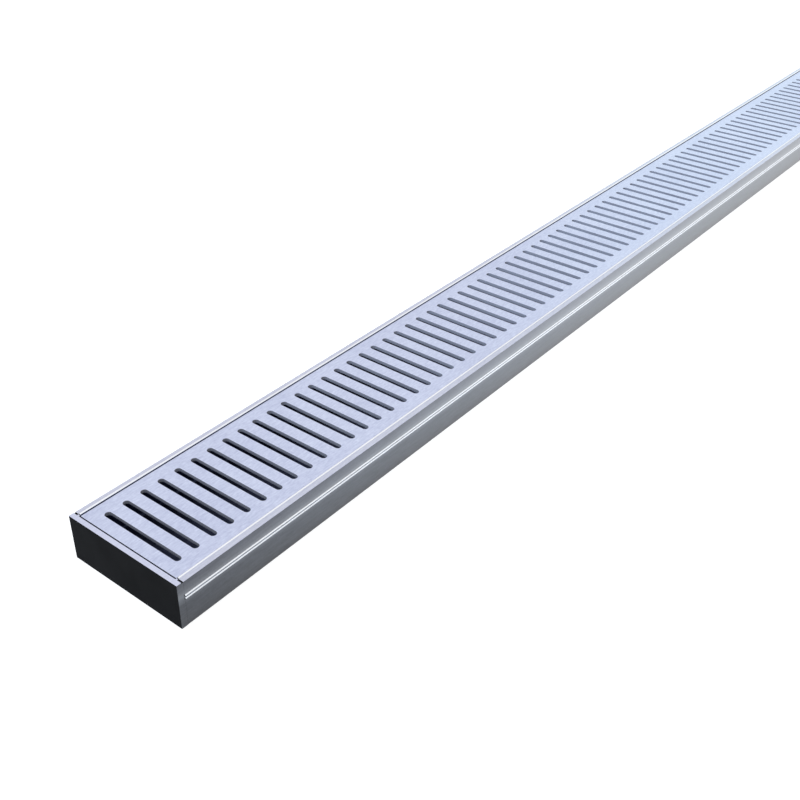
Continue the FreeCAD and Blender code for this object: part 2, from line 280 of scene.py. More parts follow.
@dataclass(frozen=True)
class Finishes:
    """Every finish of the drain."""

    # Satin anodised aluminium, etched and then sealed: an even, faintly blue sheen. Its grain is drawn as
    # short flecks, coarser than real, so that the eye still finds it from where the camera stands.
    satin: DrawnMetal = DrawnMetal(
        "satin_anodised_aluminium", "#b5bcd9", "#d9e0f6", roughness=0.40, roughness_spread=0.05,
        line_spacing=1.0, line_length=4.0, grain=1.3, relief=0.004)
    # The same anodising on the extrusion, whose lips come out a little greyer than the rolled grate, with
    # longer flecks. They are drawn coarser than real too.
    lip: DrawnMetal = DrawnMetal(
        "satin_anodised_extrusion", "#b9bdd1", "#d8dbea", roughness=0.42, roughness_spread=0.05,
        line_spacing=1.0, line_length=6.0, grain=1.3, relief=0.004)
    # Near-white aluminium on the crest of each bead and rib, a painted highlight: the crests are the same
    # metal as the walls and lips around them.
    bright: DrawnMetal = DrawnMetal(
        "aluminium_painted_highlight", "#eceff5", "#f6f8fb", roughness=0.22, roughness_spread=0.04,
        line_spacing=0.4, line_length=90.0, grain=0.4, relief=0.002)
    # Etched aluminium on the walls of the punched slots: dull and powdery, so it scatters light as a matt
    # paint does, and the eye sees an even grey.
    edge: GrainedCoat = GrainedCoat(
        "etched_aluminium", "#6b6c77", "#767984", roughness=0.7, grain=0.3, relief=0.01, specular=0.3)
    # Aluminium of the outer walls, with clear oxide on top. Its dark grey is painted shade: the walls are
    # the same metal as the pale lips, only turned from the light. On it lies painted light and shade by
    # height: a painted reflection of the ribs brightens the wall about them, and painted shade darkens it
    # below them and under the lip. Its lines along the wall are drawn shorter and coarser than real, so that
    # they show from where the camera stands.
    wall: DrawnMetal = DrawnMetal(
        "wall_aluminium_painted_shade", "#45484f", "#63666d", roughness=0.36, roughness_spread=0.06,
        line_spacing=1.2, line_length=9.0, grain=1.4, relief=0.006, coat=1.0, coat_ior=1.5,
        coat_roughness=0.3,
        painted_light_by_height=((0.0, "#313131"), (5.0, "#313131"), (9.0, "#1e1e1e"), (12.5, "#171717"),
               (14.5, "#404142"), (18.0, "#6f7174"), (19.3, "#6b6b6b"), (20.5, "#504f51"),
               (22.0, "#444345"), (24.0, "#2e2b31"), (26.0, "#18191e")))
    # Satin anodised aluminium on the top of the end caps, greyer and paler than the grate.
    cap_top: DrawnMetal = DrawnMetal(
        "satin_anodised_plate", "#c4c8df", "#d8dcf1", roughness=0.42, roughness_spread=0.05,
        line_spacing=0.7, line_length=3.0, grain=0.5, relief=0.004)
    # Dull aluminium inside the channel and on the grate's hidden faces, in a deep blue grey that paints the
    # shade of these recesses, so that gaps look dark.
    inner: DrawnMetal = DrawnMetal(
        "inner_aluminium_painted_shade", "#4d5470", "#5b6280", roughness=0.55, roughness_spread=0.08,
        line_spacing=0.9, line_length=80.0, grain=0.6, relief=0.006)
    # Cast aluminium inside the end caps, as it leaves the mould: pale and grainy.
    cast: DrawnMetal = DrawnMetal(
        "cast_aluminium", "#e4e6ea", "#eff1f4", roughness=0.6, roughness_spread=0.08,
        line_spacing=1.2, line_length=1.5, grain=0.5, relief=0.02)
    # Near-black matt finish on the end plates' faces, the notches and the sawn ends of the channel: painted
    # shade on faces of the same metal as the rest, which turn away from the light.
    black: GrainedCoat = GrainedCoat(
        "black_painted_shade", "#191a1c", "#232426", roughness=0.75, grain=0.5, relief=0.01, specular=0.05)
    # Moulded rubber, sooty black, with the faint bloom of a matt mould.
    rubber: GrainedCoat = GrainedCoat(
        "moulded_rubber", "#17181a", "#242527", roughness=0.8, grain=0.4, relief=0.02, specular=0.3)
    # Moulded polypropylene, mid grey, with the fine sparked grain of its mould.
    plastic: GrainedCoat = GrainedCoat(
        "moulded_polypropylene", "#8f9296", "#9da0a4", roughness=0.5, grain=0.5, relief=0.015, ior=1.49)
    # Brushed stainless steel, cut from brushed sheet, so its lines run straight across the disc.
    steel: DrawnMetal = DrawnMetal(
        "brushed_stainless_steel", "#a9aaac", "#bdbebf", roughness=0.32, roughness_spread=0.08,
        line_spacing=0.35, line_length=25.0, grain=0.4, relief=0.006)


# Mesh work


@dataclass
class MeshDraft:
    """Points and faces of a piece while it is being made, in millimetres."""

    points: list[tuple[float, float, float]] = field(default_factory=list)
    faces: list[tuple[int, ...]] = field(default_factory=list)
    zones: list[Zone] = field(default_factory=list)

    def add_points(self, points: Sequence[tuple[float, float, float]]) -> list[int]:
        """Adds points.

        Args:
            points: The places of the points.

        Returns:
            The numbers of the new points.
        """
        first = len(self.points)
        self.points.extend(points)
        return list(range(first, len(self.points)))

    def add_face(self, corners: Sequence[int], zone: Zone) -> None:
        """Adds one face through numbered points."""
        self.faces.append(tuple(corners))
        self.zones.append(zone)

    def bridge(self, first: Sequence[int], second: Sequence[int], zones: Sequence[Zone]) -> None:
        """Joins two closed rings of equally many points with four-sided faces.

        Args:
            first: Point numbers of one ring.
            second: Point numbers of the other ring.
            zones: The zone of each face, by the number of the ring's point where it starts.
        """
        for i, zone in enumerate(zones):
            j = (i + 1) % len(first)
            self.add_face((first[i], first[j], second[j], second[i]), zone)

    def to_object(self, name: str, materials: Sequence[bpy.types.Material]) -> bpy.types.Object:
        """Makes the object, in metres, with one material slot for each zone.

        Args:
            name: The object's name.
            materials: One material for each zone, in the zones' order.

        Returns:
            The new object, linked to the scene.
        """
        mesh = bpy.data.meshes.new(name)
        mesh.from_pydata([tuple(c * MM for c in p) for p in self.points], [], self.faces)
        for material in materials:
            mesh.materials.append(material)
        mesh.polygons.foreach_set("material_index", [int(z) for z in self.zones])
        mesh.validate()
        piece = bpy.data.objects.new(name, mesh)
        bpy.context.scene.collection.objects.link(piece)
        return piece


@dataclass
class Section:
    """Half of an upright section, drawn from its foot outside to its foot inside, then mirrored at Y = 0."""

    corners: list[tuple[float, float, float]] = field(default_factory=list)
    zones: list[Zone] = field(default_factory=list)

    def start(self, across: float, up: float, rounding: float = 0.0) -> "Section":
        """Sets the pen down at the first corner."""
        self.corners.append((across, up, rounding))
        return self

    def line(self, across: float, up: float, zone: Zone, rounding: float = 0.0) -> "Section":
        """Draws a straight line.

        Args:
            across: Where the line ends, across the channel.
            up: Where the line ends, above the underside.
            zone: The surface that the line belongs to.
            rounding: Radius of the corner at the line's end.

        Returns:
            The section, so that calls can follow each other.
        """
        self.corners.append((across, up, rounding))
        self.zones.append(zone)
        return self

    def half_round(self, across: float, up: float, radius: float, first_angle: float, last_angle: float,
                   zone: Zone, steps: int = 10) -> "Section":
        """Draws a half-round ridge about a centre.

        Args:
            across: The centre, across the channel.
            up: The centre, above the underside.
            radius: Radius of the ridge.
            first_angle: Where the arc starts, in degrees from +Y towards +Z.
            last_angle: Where the arc ends.
            zone: The surface that the ridge belongs to.
            steps: How many flats draw it.

        Returns:
            The section.
        """
        for step in range(steps + 1):
            angle = math.radians(first_angle + (last_angle - first_angle) * step / steps)
            place = (across + radius * math.cos(angle), up + radius * math.sin(angle))
            if step == 0 and math.dist(self.corners[-1][:2], place) < SAME_PLACE:
                continue
            self.line(*place, zone if step else Zone.OUTER)
        return self

    def outline(self, inner: Zone, outer: Zone, steps: int = 4) -> tuple[list[YZ], list[Zone]]:
        """Closes the section with its mirror image and rounds its corners.

        Args:
            inner: Zone of the line that joins the two inside feet.
            outer: Zone of the line that joins the two outside feet.
            steps: How many flats draw each rounded corner.

        Returns:
            The outline's points, and the zone of the line that starts at each.
        """
        corners = self.corners + [(-y, z, r) for y, z, r in reversed(self.corners)]
        zones = self.zones + [inner] + list(reversed(self.zones)) + [outer]
        points: list[YZ] = []
        point_zones: list[Zone] = []
        for i, (across, up, rounding) in enumerate(corners):
            if rounding == 0.0:
                points.append((across, up))
                point_zones.append(zones[i])
                continue
            arc = self._rounded(corners[i - 1][:2], (across, up), corners[(i + 1) % len(corners)][:2],
                                rounding, steps)
            points.extend(arc)
            point_zones.extend([min(zones[i - 1], zones[i])] * steps + [zones[i]])
        return points, point_zones

    @staticmethod
    def _rounded(before: YZ, corner: YZ, after: YZ, radius: float, steps: int) -> list[YZ]:
        """Lists the points of an arc that replaces a corner between two lines.

        Args:
            before: The corner before.
            corner: The corner to round.
            after: The corner after.
            radius: Radius of the arc.
            steps: How many flats draw it.

        Returns:
            The arc's points, steps + 1 of them.
        """
        centre_line = Vector(corner)
        back = (Vector(before) - centre_line).normalized()
        ahead = (Vector(after) - centre_line).normalized()
        half_angle = back.angle(ahead) / 2
        centre = centre_line + (back + ahead).normalized() * (radius / math.sin(half_angle))
        first = centre_line + back * (radius / math.tan(half_angle)) - centre
        last = centre_line + ahead * (radius / math.tan(half_angle)) - centre
        sweep = first.angle_signed(last)
        arc = []
        for step in range(steps + 1):
            angle = -sweep * step / steps
            turned = Vector((first.x * math.cos(angle) - first.y * math.sin(angle),
                             first.x * math.sin(angle) + first.y * math.cos(angle)))
            arc.append(tuple(centre + turned))
        return arc


def sweep(outline: tuple[list[YZ], list[Zone]], stations: Sequence[float], end_zone: Zone) -> MeshDraft:
    """Runs a closed outline along X and closes both ends.

    Args:
        outline: The outline's points and zones.
        stations: Where rings of points stand along X, in rising order.
        end_zone: Zone of the two end faces.

    Returns:
        The draft of the solid.
    """
    points, zones = outline
    draft = MeshDraft()
    rings = [draft.add_points([(x, y, z) for y, z in points]) for x in stations]
    for first, second in zip(rings, rings[1:]):
        draft.bridge(first, second, zones)
    draft.add_face(list(reversed(rings[0])), end_zone)
    draft.add_face(rings[-1], end_zone)
    return draft


def apply_modifiers(piece: bpy.types.Object) -> None:
    """Bakes a piece's modifiers into its own mesh."""
    graph = bpy.context.evaluated_depsgraph_get()
    finished = bpy.data.meshes.new_from_object(piece.evaluated_get(graph), depsgraph=graph)
    piece.modifiers.clear()
    piece.data = finished


def combine(piece: bpy.types.Object, other: bpy.types.Object, operation: str) -> None:
    """Joins another solid to a piece, or cuts it away, and removes the other.

    Args:
        piece: The piece that stays.
        other: The solid that is added or cut away.
        operation: "UNION" or "DIFFERENCE".
    """
    tool = piece.modifiers.new("tool", "BOOLEAN")
    tool.operation = operation
    tool.solver = "EXACT"
    tool.object = other
    apply_modifiers(piece)
    bpy.data.objects.remove(other)


def soften(piece: bpy.types.Object, edge_radius: float = 0.0) -> None:
    """Breaks a piece's sharp edges, if a radius is given, and shades it smooth between them.

    Args:
        piece: The piece.
        edge_radius: Radius on every sharp edge, in millimetres.
    """
    if edge_radius:
        bevel = piece.modifiers.new("broken_edges", "BEVEL")
        bevel.width = edge_radius * MM
        bevel.segments = 2
        bevel.limit_method = "ANGLE"
        bevel.angle_limit = SHARP_ANGLE
        bevel.harden_normals = False
        apply_modifiers(piece)
    mesh = piece.data
    mesh.polygons.foreach_set("use_smooth", [True] * len(mesh.polygons))
    mesh.set_sharp_from_angle(angle=SHARP_ANGLE)
    weighted = piece.modifiers.new("flat_faces_stay_flat", "WEIGHTED_NORMAL")
    weighted.keep_sharp = True
    apply_modifiers(piece)


def settle(piece: bpy.types.Object, slot: str, *nodes: str) -> None:
    """Lets a piece ride on the drain and stand for its nodes, and reports it.

    Args:
        piece: The piece.
        slot: The material slot that its finish comes from; not used.
        nodes: The nodes that it replaces.
    """
    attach(piece, BODY)
    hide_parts(*nodes)
    triangles = sum(len(p.vertices) - 2 for p in piece.data.polygons)
    LOG.info("%s: %d triangles, for %s", piece.name, triangles, ", ".join(nodes))


# The drain


@dataclass(frozen=True)
class Sizes:
    """Sizes that several pieces share, in millimetres."""

    half_length: float = 600.0
    half_width: float = 37.5
    lip_height: float = 26.0
    wall: float = 1.8
    floor: float = 1.8
    floor_fillet: float = 2.0
    lip_inside: float = 33.72
    lip_thickness: float = 1.8
    bead_radius: float = 0.53
    ledge_inside: float = 29.7
    ledge_top: float = 19.75
    ledge_thickness: float = 1.6
    cap_plate: float = 2.8
    cap_shoulder: float = 1.0

    @property
    def wall_inside(self) -> float:
        """Inner face of the side wall."""
        return self.half_width - self.wall

    @property
    def lip_underside(self) -> float:
        """Underside of the lip."""
        return self.lip_height - self.lip_thickness

    @property
    def ledge_underside(self) -> float:
        """Underside of the ledge."""
        return self.ledge_top - self.ledge_thickness

    @property
    def channel_end(self) -> float:
        """Where the channel is cut off, from the middle."""
        return self.half_length - self.cap_plate - self.cap_shoulder


@dataclass(frozen=True)
class Channel:
    """The extruded channel."""

    sizes: Sizes
    finishes: dict[Zone, bpy.types.Material]
    corner: float = 0.24
    rib_radius: float = 0.5
    rib_levels: tuple[float, float] = (15.95, 17.75)
    floor_hole: float = 24.3
    cutter_levels: tuple[float, float] = (-2.0, 4.0)

    def section(self) -> Section:
        """Draws the half section: foot, wall with two ribs, lip with its bead, ledge and floor."""
        s = self.sizes
        section = Section().start(s.half_width, 0.0, self.corner)
        for level in self.rib_levels:
            section.line(s.half_width, level - self.rib_radius, Zone.OUTER)
            section.half_round(s.half_width, level, self.rib_radius, -90, 90, Zone.BRIGHT)
        section.line(s.half_width, s.lip_height, Zone.OUTER, self.corner)
        section.line(s.lip_inside + 2 * s.bead_radius, s.lip_height, Zone.LIP)
        section.half_round(s.lip_inside + s.bead_radius, s.lip_height, s.bead_radius, 0, 180, Zone.BRIGHT)
        for across, up in ((s.lip_inside, s.lip_underside), (s.wall_inside, s.lip_underside),
                           (s.wall_inside, s.ledge_top), (s.ledge_inside, s.ledge_top),
                           (s.ledge_inside, s.ledge_underside), (s.wall_inside, s.ledge_underside)):
            section.line(across, up, Zone.INNER, self.corner)
        section.line(s.wall_inside, s.floor, Zone.INNER, s.floor_fillet)
        return section

    def build(self) -> None:
        """Sweeps the section, cuts the outlet's hole and dresses the channel."""
        end = self.sizes.channel_end
        draft = sweep(self.section().outline(Zone.INNER, Zone.OUTER), (-end, end), Zone.CUT)
        materials = [self.finishes[zone] for zone in Zone]
        piece = draft.to_object("channel_extrusion", materials)
        low, high = self.cutter_levels
        cutter = turned([(0.0, low), (self.floor_hole, low), (self.floor_hole, high), (0.0, high)],
                        Zone.CUT).to_object("hole_cutter", materials)
        combine(piece, cutter, "DIFFERENCE")
        soften(piece)
        settle(piece, "channel_aluminium", "channel_frame")


@dataclass(frozen=True)
class Grate:
    """The slotted grate: a strip with turned-down sides and a row of round-ended slots."""

    sizes: Sizes
    finishes: dict[Zone, bpy.types.Material]
    half_length: float = 596.4
    half_width: float = 33.27
    top: float = 25.75
    plate: float = 2.0
    skirt: float = 1.5
    edge_radius: float = 0.2
    slot_length: float = 51.8
    slot_width: float = 3.7
    slot_count: int = 108
    slot_inset: float = 9.05
    slot_edge: float = 0.06
    end_steps: int = 16
    edge_steps: int = 3
    side_steps: int = 4

    @property
    def pitch(self) -> float:
        """From one slot to the next."""
        return 2 * (self.half_length - self.slot_inset) / (self.slot_count - 1)

    @property
    def arc_centre(self) -> float:
        """Centre of a slot's round end, from the middle of the grate."""
        return (self.slot_length - self.slot_width) / 2

    def _directions(self) -> list[tuple[float, float, float]]:
        """Lists a ring round a slot, as the arc centre and the sine and cosine of each direction.

        Returns:
            (arc centre, cosine, sine) for each point of the ring.
        """
        ring = []
        for side in (1, -1):
            for step in range(self.end_steps + 1):
                angle = math.pi * step / self.end_steps + (0 if side > 0 else math.pi)
                ring.append((side * self.arc_centre, math.cos(angle), math.sin(angle)))
        return ring

    def _seam_levels(self) -> list[float]:
        """Lists where the rings' outer points meet the line between two slots, from the middle outwards."""
        half = self.pitch / 2
        levels = []
        for step in range(self.end_steps // 4 + 1):
            levels.append(self.arc_centre + half * math.tan(math.pi * step / self.end_steps))
        return levels

    def build(self) -> None:
        """Builds the strip slot by slot and dresses it."""
        draft = MeshDraft()
        half = self.pitch / 2
        underside = self.top - self.plate
        first_slot = self.slot_inset - self.half_length
        skirt_inside = self.half_width - self.skirt
        seam = self._seam_levels()
        across_seam = sorted([-y for y in seam] + seam)
        foot = self.sizes.ledge_top
        # The outline runs up the outside at +Y, over the top, down at -Y and back along the underside.
        side = [(self.half_width, foot)]
        for step in range(self.side_steps + 1):
            angle = math.pi / 2 * step / self.side_steps
            side.append((self.half_width - self.edge_radius + self.edge_radius * math.cos(angle),
                         self.top - self.edge_radius + self.edge_radius * math.sin(angle)))
        inside = [(skirt_inside, underside), (skirt_inside, foot)]
        outline = (side + [(y, self.top) for y in reversed(across_seam)]
                   + [(-y, z) for y, z in reversed(side)]
                   + [(-y, z) for y, z in reversed(inside)]
                   + [(y, underside) for y in across_seam] + inside)
        zones = self._outline_zones(len(side), len(across_seam), len(inside))
        stations = [-self.half_length]
        stations += [first_slot + self.pitch * i - half for i in range(self.slot_count + 1)]
        stations.append(self.half_length)
        rings = [draft.add_points([(x, y, z) for y, z in outline]) for x in stations]
        top_run = range(len(side), len(side) + len(across_seam))
        under_start = 2 * len(side) + len(across_seam) + len(inside)
        under_run = range(under_start, under_start + len(across_seam))
        slot_fills = {*range(top_run.start - 1, top_run.stop), *range(under_run.start - 1, under_run.stop)}
        for number, (first, second) in enumerate(zip(rings, rings[1:])):
            slotted = 0 < number <= self.slot_count
            for i, zone in enumerate(zones):
                j = (i + 1) % len(outline)
                if slotted and i in slot_fills:
                    continue
                draft.add_face((first[i], first[j], second[j], second[i]), zone)
            if slotted:
                centre = first_slot + self.pitch * (number - 1)
                self._slot(draft, centre, first, second, top_run, under_run)
        draft.add_face(list(reversed(rings[0])), Zone.INNER)
        draft.add_face(rings[-1], Zone.INNER)
        piece = draft.to_object("grate_strip", [self.finishes[zone] for zone in Zone])
        soften(piece)
        settle(piece, "grate_aluminium", "slotted_grate")

    @staticmethod
    def _outline_zones(side: int, seam: int, inside: int) -> list[Zone]:
        """Lists the zone of each line of the outline.

        Args:
            side: How many points draw each outer side.
            seam: How many points lie along the top, and along the underside.
            inside: How many points draw each inner side.

        Returns:
            The zones, in the outline's order.
        """
        return [Zone.TOP] * (2 * side + seam - 1) + [Zone.INNER] * (2 * inside + seam + 1)

    def _slot(self, draft: MeshDraft, centre: float, first: Sequence[int], second: Sequence[int],
              top_run: range, under_run: range) -> None:
        """Fills one slot's stretch of the top and the underside, and draws the slot's walls.

        Args:
            draft: The draft that gets the faces.
            centre: Where the slot's middle is, along X.
            first: The ring of points before the slot.
            second: The ring of points after the slot.
            top_run: Which of the ring's points lie along the top.
            under_run: Which of the ring's points lie along the underside.
        """
        underside = self.top - self.plate
        radius = self.slot_width / 2
        edge = self.slot_edge
        levels = [(radius + edge, self.top)]
        for step in range(1, self.edge_steps + 1):
            angle = math.pi / 2 * step / self.edge_steps
            levels.append((radius + edge * (1 - math.sin(angle)), self.top - edge * (1 - math.cos(angle))))
        levels += [(radius, underside + edge), (radius + edge, underside)]
        ring_draw = self._directions()
        loops = [draft.add_points([(centre + r * c, y0 + r * s, z) for y0, c, s in ring_draw])
                 for r, z in levels]
        top_outer = self._outer_ring(draft, centre, self.top, [first[i] for i in reversed(top_run)],
                                     [second[i] for i in reversed(top_run)])
        under_outer = self._outer_ring(draft, centre, underside, [first[i] for i in under_run],
                                       [second[i] for i in under_run])
        count = len(ring_draw)
        draft.bridge(loops[0], top_outer, [Zone.TOP] * count)
        for number, (upper, lower) in enumerate(zip(loops, loops[1:])):
            zone = Zone.EDGE if number else Zone.TOP
            draft.bridge(lower, upper, [zone] * count)
        draft.bridge(under_outer, loops[-1], [Zone.INNER] * count)
        self._slot_ends(draft, top_outer, [first[top_run.start - 1], second[top_run.start - 1]],
                        [second[top_run.stop], first[top_run.stop]], Zone.TOP, False)
        self._slot_ends(draft, under_outer, [first[under_run.stop], second[under_run.stop]],
                        [second[under_run.start - 1], first[under_run.start - 1]], Zone.INNER, True)

    def _outer_ring(self, draft: MeshDraft, centre: float, height: float, before: Sequence[int],
                    after: Sequence[int]) -> list[int]:
        """Lists the ring of points halfway to the neighbouring slots, in the order of a slot's ring.

        Args:
            draft: The draft that gets the points across each end.
            centre: Where the slot's middle is, along X.
            height: Height of the surface.
            before: The line's points on the side towards -X, from -Y to +Y.
            after: The line's points on the side towards +X, from -Y to +Y.

        Returns:
            Point numbers, as many as the slot's ring has.
        """
        half = self.pitch / 2
        quarter = self.end_steps // 4
        ring: list[int] = []
        for side in (1, -1):
            end = side * (self.arc_centre + half)
            steps = range(quarter + 1, self.end_steps - quarter)
            across = [(centre + side * half / math.tan(math.pi * step / self.end_steps), end, height)
                      for step in steps]
            new = draft.add_points(across)
            near, far = (after, before) if side > 0 else (before, after)
            middle = len(before) // 2
            if side > 0:
                ring += list(near[middle:]) + new + list(reversed(far[middle:]))
            else:
                ring += list(reversed(near[:middle])) + new + list(far[:middle])
        return ring

    def _slot_ends(self, draft: MeshDraft, ring: Sequence[int], left: Sequence[int], right: Sequence[int],
                   zone: Zone, flipped: bool) -> None:
        """Fills the stretch of surface beyond each round end of a slot.

        Args:
            draft: The draft that gets the two faces.
            ring: The ring halfway to the neighbouring slots.
            left: The two points on the surface's edge at +Y.
            right: The two points on the surface's edge at -Y.
            zone: Zone of the surface.
            flipped: Whether the surface faces down.
        """
        quarter = self.end_steps // 4
        half_ring = self.end_steps + 1
        for start, edge in ((0, left), (half_ring, right)):
            border = list(ring[start + quarter:start + self.end_steps - quarter + 1])
            corners = border + list(edge)
            draft.add_face(list(reversed(corners)) if flipped else corners, zone)


def turned(profile: Sequence[YZ], zone: Zone) -> MeshDraft:
    """Turns a closed profile once round the Z axis.

    Args:
        profile: (radius, height) points, anticlockwise; those on the axis have radius 0.
        zone: Zone of every face.

    Returns:
        The draft of the solid.
    """
    draft = MeshDraft()
    columns: list[list[int]] = []
    axis_points: dict[int, int] = {}
    for i, (radius, height) in enumerate(profile):
        if radius == 0.0:
            axis_points[i] = draft.add_points([(0.0, 0.0, height)])[0]
    for step in range(RING_STEPS):
        angle = 2 * math.pi * step / RING_STEPS
        column = []
        for i, (radius, height) in enumerate(profile):
            if i in axis_points:
                column.append(axis_points[i])
            else:
                column += draft.add_points([(radius * math.cos(angle), radius * math.sin(angle), height)])
        columns.append(column)
    for step, column in enumerate(columns):
        following = columns[(step + 1) % RING_STEPS]
        for i in range(len(profile)):
            j = (i + 1) % len(profile)
            corners = [column[i], following[i], following[j], column[j]]
            distinct = list(dict.fromkeys(corners))
            if len(distinct) > 2:
                draft.add_face(distinct, zone)
    return draft


@dataclass(frozen=True)
class EndCap:
    """An end cap: plate, shoulder with a notch beside each lip, and the plug's rim."""

    sizes: Sizes
    finishes: dict[Zone, bpy.types.Material]
    node: str
    far: bool
    notch: float = 0.55
    plug_length: float = 6.0
    plug_thickness: float = 2.5
    seal: float = 1.0
    overlap_start: float = 1.0
    broken_edge: float = 0.08

    def build(self) -> None:
        """Joins plate, shoulder and plug, and dresses the cap."""
        s = self.sizes
        depth = s.cap_plate + s.cap_shoulder
        bead_outside = s.lip_inside + 2 * s.bead_radius
        plug_side = s.wall_inside - self.seal
        plug_bottom = s.floor + self.seal
        plug_inside = plug_side - self.plug_thickness
        plate = Section().start(s.half_width, 0.0).line(s.half_width, s.lip_height, Zone.OUTER)
        # The notch's faces, like the end faces, are CUT, and take the near-black painted shade.
        shoulder = (Section().start(s.half_width, 0.0)
                    .line(s.half_width, s.lip_height - self.notch, Zone.OUTER)
                    .line(bead_outside, s.lip_height - self.notch, Zone.CUT)
                    .line(bead_outside, s.lip_height, Zone.CUT)
                    .line(s.lip_inside, s.lip_height, Zone.TOP)
                    .line(s.lip_inside, s.ledge_top, Zone.INNER))
        plug = (Section().start(plug_side, plug_bottom, s.floor_fillet - self.seal)
                .line(plug_side, s.ledge_underside, Zone.INNER)
                .line(plug_inside, s.ledge_underside, Zone.INNER)
                .line(plug_inside, plug_bottom + self.plug_thickness, Zone.INNER))
        materials = [self.finishes[zone] for zone in Zone]
        name = f"{self.node}_moulding"
        piece = self._slab(plate.outline(Zone.TOP, Zone.OUTER), 0.0, s.cap_plate).to_object(name, materials)
        # Both start inside the plate, so that the solids overlap and join.
        for section, reach in ((shoulder, depth), (plug, depth + self.plug_length)):
            part = self._slab(section.outline(Zone.INNER, Zone.OUTER), self.overlap_start, reach)
            combine(piece, part.to_object("cap_part", materials), "UNION")
        soften(piece, self.broken_edge)
        settle(piece, "cap_aluminium", self.node)

    def _slab(self, outline: tuple[list[YZ], list[Zone]], start: float, end: float) -> MeshDraft:
        """Runs an outline inwards from the cap's outer face.

        Args:
            outline: The outline's points and zones.
            start: Where it starts, from the outer face.
            end: Where it ends, from the outer face.

        Returns:
            The draft, in place at its end of the channel.
        """
        outer = self.sizes.half_length
        stations = (outer - end, outer - start) if self.far else (start - outer, end - outer)
        return sweep(outline, stations, Zone.CUT)


@dataclass(frozen=True)
class Outlet:
    """The outlet in the floor: pipe socket with its sloping flange, and the loose strainer."""

    sizes: Sizes
    plastic: bpy.types.Material
    steel: bpy.types.Material
    bore: float = 21.6
    wall: float = 2.4
    flange: float = 31.3
    gasket_top: float = 2.8
    rim: float = 1.4
    rise: float = 1.2
    seat: float = 1.5
    strainer: float = 1.2
    clearance: float = 0.3
    eye: float = 4.0
    bar: float = 3.5
    slot_width: float = 3.2
    slot_count: int = 12
    slot_end_steps: int = 12
    cutter_height: float = 10.0
    broken_edge: float = 0.12

    @property
    def flange_top(self) -> float:
        """Height of the flange's inner rim."""
        return self.gasket_top + self.rim + self.rise

    def build(self) -> None:
        """Turns the socket, cuts the strainer and dresses both."""
        outside = self.bore + self.wall
        rebate = self.bore + self.seat
        strainer_bottom = self.flange_top - self.strainer
        socket = turned([(self.bore, 0.0), (outside, 0.0), (outside, self.gasket_top),
                         (self.flange, self.gasket_top), (self.flange, self.gasket_top + self.rim),
                         (outside, self.flange_top), (rebate, self.flange_top), (rebate, strainer_bottom),
                         (self.bore, strainer_bottom)], Zone.TOP).to_object("outlet_socket_moulding",
                                                                          [self.plastic])
        soften(socket, self.broken_edge)
        settle(socket, "socket_plastic", "outlet_socket")
        disc_radius = rebate - self.clearance
        disc = turned([(self.eye, strainer_bottom), (disc_radius, strainer_bottom),
                       (disc_radius, self.flange_top), (self.eye, self.flange_top)],
                      Zone.TOP).to_object("strainer_disc", [self.steel])
        combine(disc, self._slot_cutter().to_object("slot_cutter", [self.steel]), "DIFFERENCE")
        soften(disc, self.broken_edge)
        settle(disc, "strainer_steel", "outlet_strainer")

    def _slot_cutter(self) -> MeshDraft:
        """Draws the ring of round-ended prisms that cut the strainer's slots."""
        draft = MeshDraft()
        radius = self.slot_width / 2
        start = self.eye + self.bar + radius
        end = self.bore - self.bar - radius
        ring = []
        for centre, first_angle in ((end, -math.pi / 2), (start, math.pi / 2)):
            for step in range(self.slot_end_steps + 1):
                angle = first_angle + math.pi * step / self.slot_end_steps
                ring.append((centre + radius * math.cos(angle), radius * math.sin(angle)))
        for number in range(self.slot_count):
            turn = 2 * math.pi * number / self.slot_count + math.pi / 2
            placed = [(x * math.cos(turn) - y * math.sin(turn), x * math.sin(turn) + y * math.cos(turn))
                      for x, y in ring]
            low = draft.add_points([(x, y, 0.0) for x, y in placed])
            high = draft.add_points([(x, y, self.cutter_height) for x, y in placed])
            draft.bridge(low, high, [Zone.TOP] * len(ring))
            draft.add_face(list(reversed(low)), Zone.TOP)
            draft.add_face(high, Zone.TOP)
        return draft


# The studio


@dataclass(frozen=True)
class Viewpoint:
    """Where the camera stands and how it looks."""

    location: tuple[float, float, float] = (-0.814325, -0.323863, 0.356594)
    rotation: tuple[float, float, float, float] = (0.79492, 0.429525, -0.204241, -0.376692)
    lens: float = 48.832
    sensor_width: float = 36.0
    shift: tuple[float, float] = (0.030625, -0.015625)
    clip_start: float = 0.01

    def build(self) -> None:
        """Makes the scene's camera."""
        camera = bpy.data.cameras.new("camera")
        camera.lens = self.lens
        camera.sensor_width = self.sensor_width
        camera.shift_x, camera.shift_y = self.shift
        camera.clip_start = self.clip_start
        holder = bpy.data.objects.new("camera", camera)
        holder.location = self.location
        holder.rotation_mode = "QUATERNION"
        holder.rotation_quaternion = Quaternion(self.rotation)
        bpy.context.scene.collection.objects.link(holder)
        bpy.context.scene.camera = holder


@dataclass(frozen=True)
class SoftLamp:
    """A large square lamp that points at a place. Without glints it lights matt surfaces alone."""

    name: str
    location: tuple[float, float, float]
    target: tuple[float, float, float]
    width: float
    power: float
    colour: tuple[float, float, float] = (1.0, 1.0, 1.0)
    glints: bool = True

    def build(self) -> None:
        """Makes the lamp."""
        lamp = bpy.data.lights.new(self.name, "AREA")
        lamp.shape = "SQUARE"
        lamp.size = self.width
        lamp.energy = self.power
        lamp.color = self.colour
        holder = bpy.data.objects.new(self.name, lamp)
        holder.visible_glossy = self.glints
        holder.location = self.location
        direction = Vector(self.target) - Vector(self.location)
        holder.rotation_mode = "QUATERNION"
        holder.rotation_quaternion = direction.to_track_quat("-Z", "Y")
        bpy.context.scene.collection.objects.link(holder)


